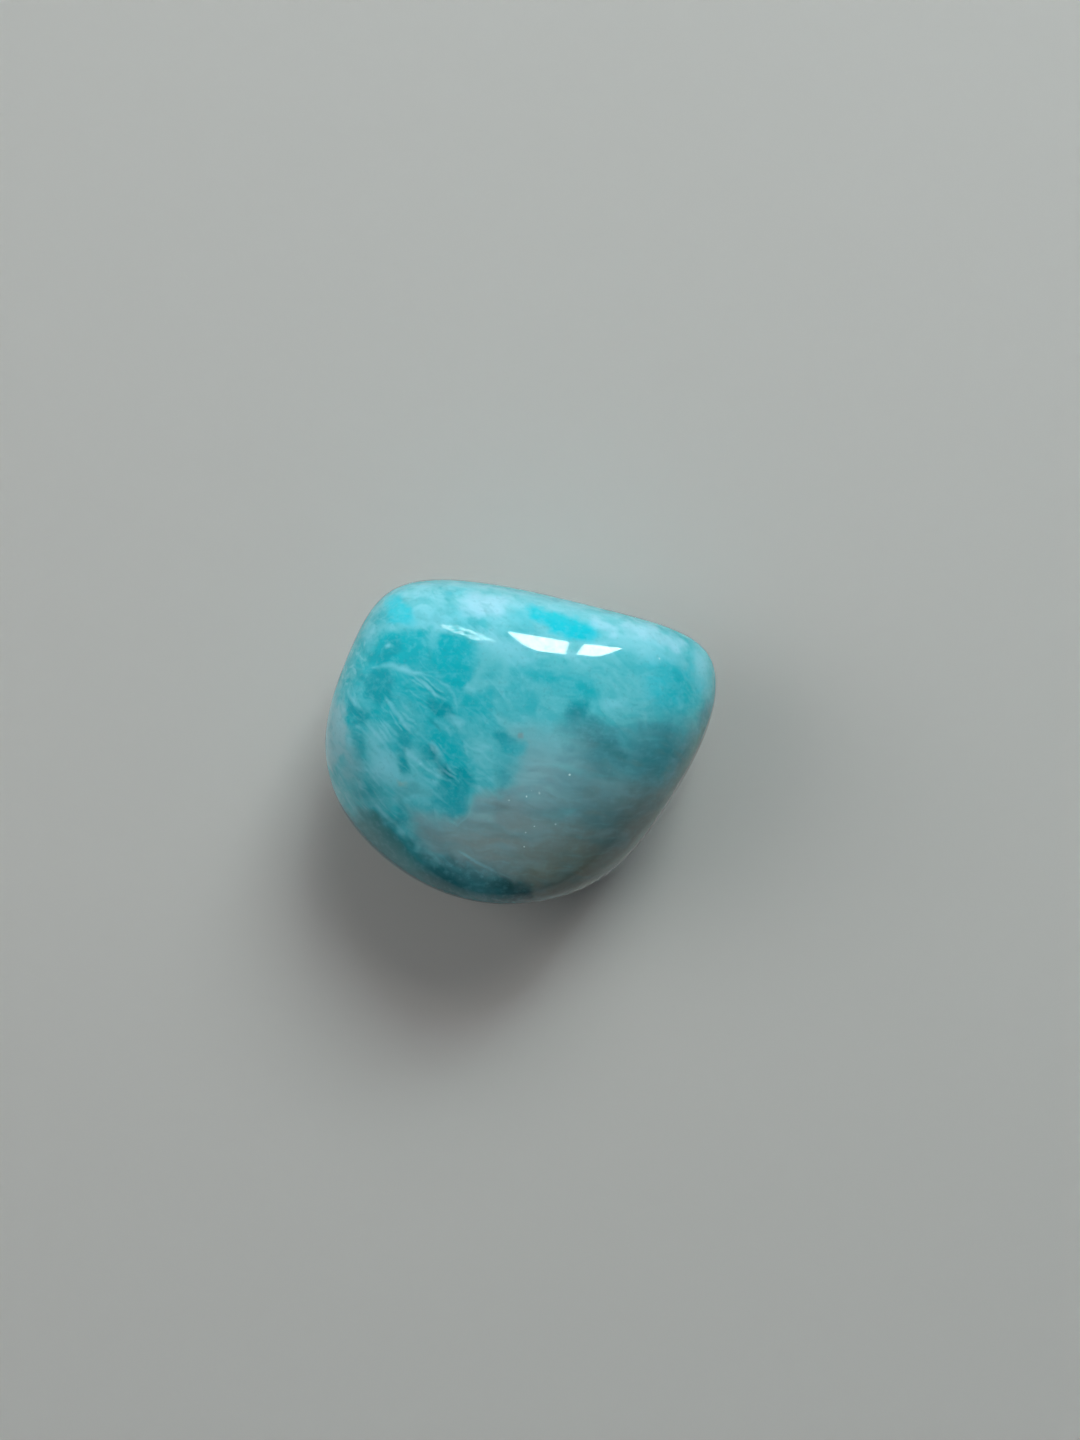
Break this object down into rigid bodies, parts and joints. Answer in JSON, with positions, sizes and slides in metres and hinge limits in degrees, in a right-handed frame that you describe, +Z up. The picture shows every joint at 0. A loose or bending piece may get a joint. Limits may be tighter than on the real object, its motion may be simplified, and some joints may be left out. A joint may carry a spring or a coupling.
{
  "type": "tumbled amazonite stone",
  "caption": "Tumbled and polished amazonite stone, a rounded wedge with a blunt nose, broad domed top and a small flat resting spot.",
  "frame": {"origin": "middle of the outline seen from above, at the height of the flat resting spot", "axes": "+X along the long way of the stone toward its blunt nose, +Y toward the long straight far side, +Z up"},
  "size_m": [0.037, 0.0304, 0.0216],
  "materials": {
    "stone": "mirror polished, teal and pale blue-green with white veins and a translucent grey region"
  },
  "bodies": {
    "root": {"stone": "stone"}
  },
  "joints": []
}
